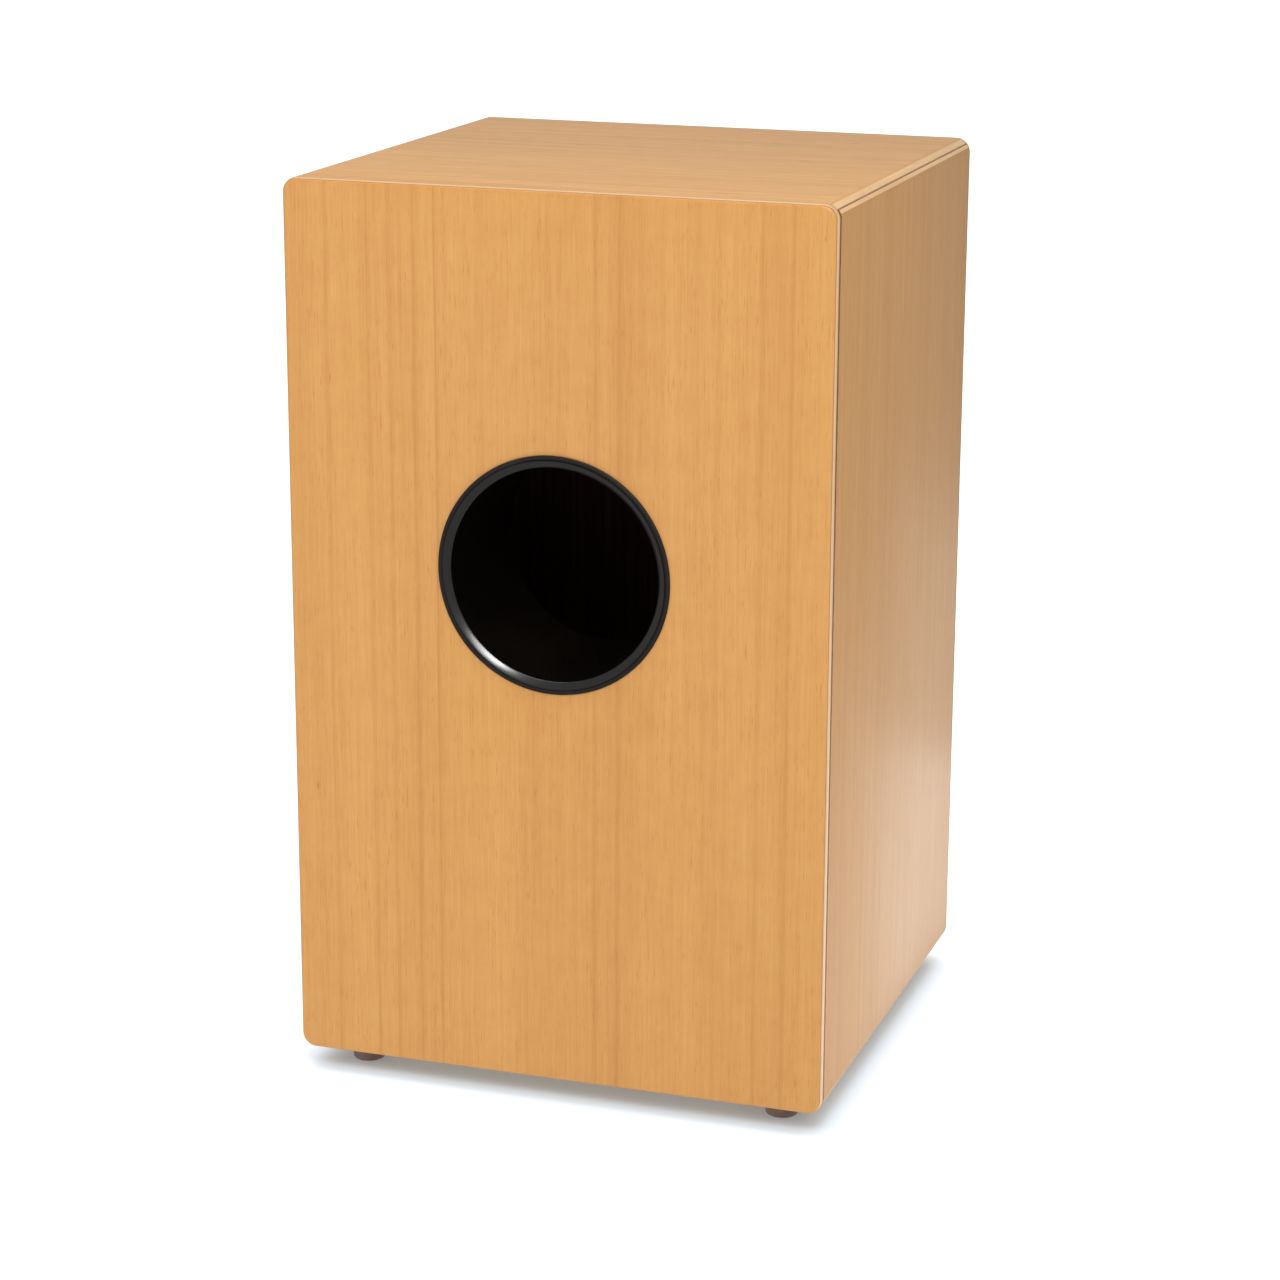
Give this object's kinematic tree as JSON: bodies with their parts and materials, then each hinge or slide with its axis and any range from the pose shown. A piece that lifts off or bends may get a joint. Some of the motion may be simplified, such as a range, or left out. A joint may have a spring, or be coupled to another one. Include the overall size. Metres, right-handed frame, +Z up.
{
  "type": "cajon",
  "caption": "Upright plywood box drum to sit on, with a thin screwed-on playing panel, a ported back, rubber feet and snare wires on a turning bar inside.",
  "frame": {"origin": "on the floor, under the middle of the box", "axes": "+Z up; the playing panel faces -Y and the back panel with the sound port faces +Y; +X is the player's right, as the player sits on the box facing -Y"},
  "size_m": [0.3, 0.289, 0.498],
  "materials": {
    "shell_veneer": "satin varnish over birch veneer plywood",
    "playing_veneer": "satin varnish over thin veneer plywood",
    "beech": "planed, unfinished",
    "port_plastic": "gloss black, moulded",
    "foot_rubber": "matte brown-grey rubber",
    "zinc_steel": "bright zinc",
    "black_screw": "black oxide",
    "spring_steel": "bright drawn spring wire"
  },
  "bodies": {
    "box": {"back_panel": "shell_veneer", "bottom_panel": "shell_veneer", "foot_back_left": "foot_rubber", "foot_back_right": "foot_rubber", "foot_front_left": "foot_rubber", "foot_front_right": "foot_rubber", "foot_screw_back_left": "zinc_steel", "foot_screw_back_right": "zinc_steel", "foot_screw_front_left": "zinc_steel", "foot_screw_front_right": "zinc_steel", "foot_washer_back_left": "zinc_steel", "foot_washer_back_right": "zinc_steel", "foot_washer_front_left": "zinc_steel", "foot_washer_front_right": "zinc_steel", "left_side_panel": "shell_veneer", "playing_panel": "playing_veneer", "playing_panel_screw_bottom_1": "black_screw", "playing_panel_screw_bottom_2": "black_screw", "playing_panel_screw_bottom_3": "black_screw", "playing_panel_screw_bottom_4": "black_screw", "playing_panel_screw_bottom_5": "black_screw", "playing_panel_screw_left_1": "black_screw", "playing_panel_screw_left_2": "black_screw", "playing_panel_screw_left_3": "black_screw", "playing_panel_screw_left_4": "black_screw", "playing_panel_screw_right_1": "black_screw", "playing_panel_screw_right_2": "black_screw", "playing_panel_screw_right_3": "black_screw", "playing_panel_screw_right_4": "black_screw", "playing_panel_screw_top_1": "black_screw", "playing_panel_screw_top_2": "black_screw", "playing_panel_screw_top_3": "black_screw", "playing_panel_screw_top_4": "black_screw", "playing_panel_screw_top_5": "black_screw", "right_side_panel": "shell_veneer", "snare_block_left": "beech", "snare_block_right": "beech", "snare_block_screw_left_lower": "zinc_steel", "snare_block_screw_left_upper": "zinc_steel", "snare_block_screw_right_lower": "zinc_steel", "snare_block_screw_right_upper": "zinc_steel", "sound_port": "port_plastic", "top_panel": "shell_veneer"},
    "snare": {"snare_bar": "beech", "snare_strip_left": "zinc_steel", "snare_strip_right": "zinc_steel", "snare_strip_screw_left_inner": "zinc_steel", "snare_strip_screw_left_outer": "zinc_steel", "snare_strip_screw_right_inner": "zinc_steel", "snare_strip_screw_right_outer": "zinc_steel", "snare_wires_left": "spring_steel", "snare_wires_right": "spring_steel"}
  },
  "joints": [
    {"name": "snare_turn", "type": "hinge", "parent": "box", "child": "snare", "pos_m": [0, -0.123, 0.37], "axis": [-1, 0, 0], "range_deg": [0, 20]}
  ]
}
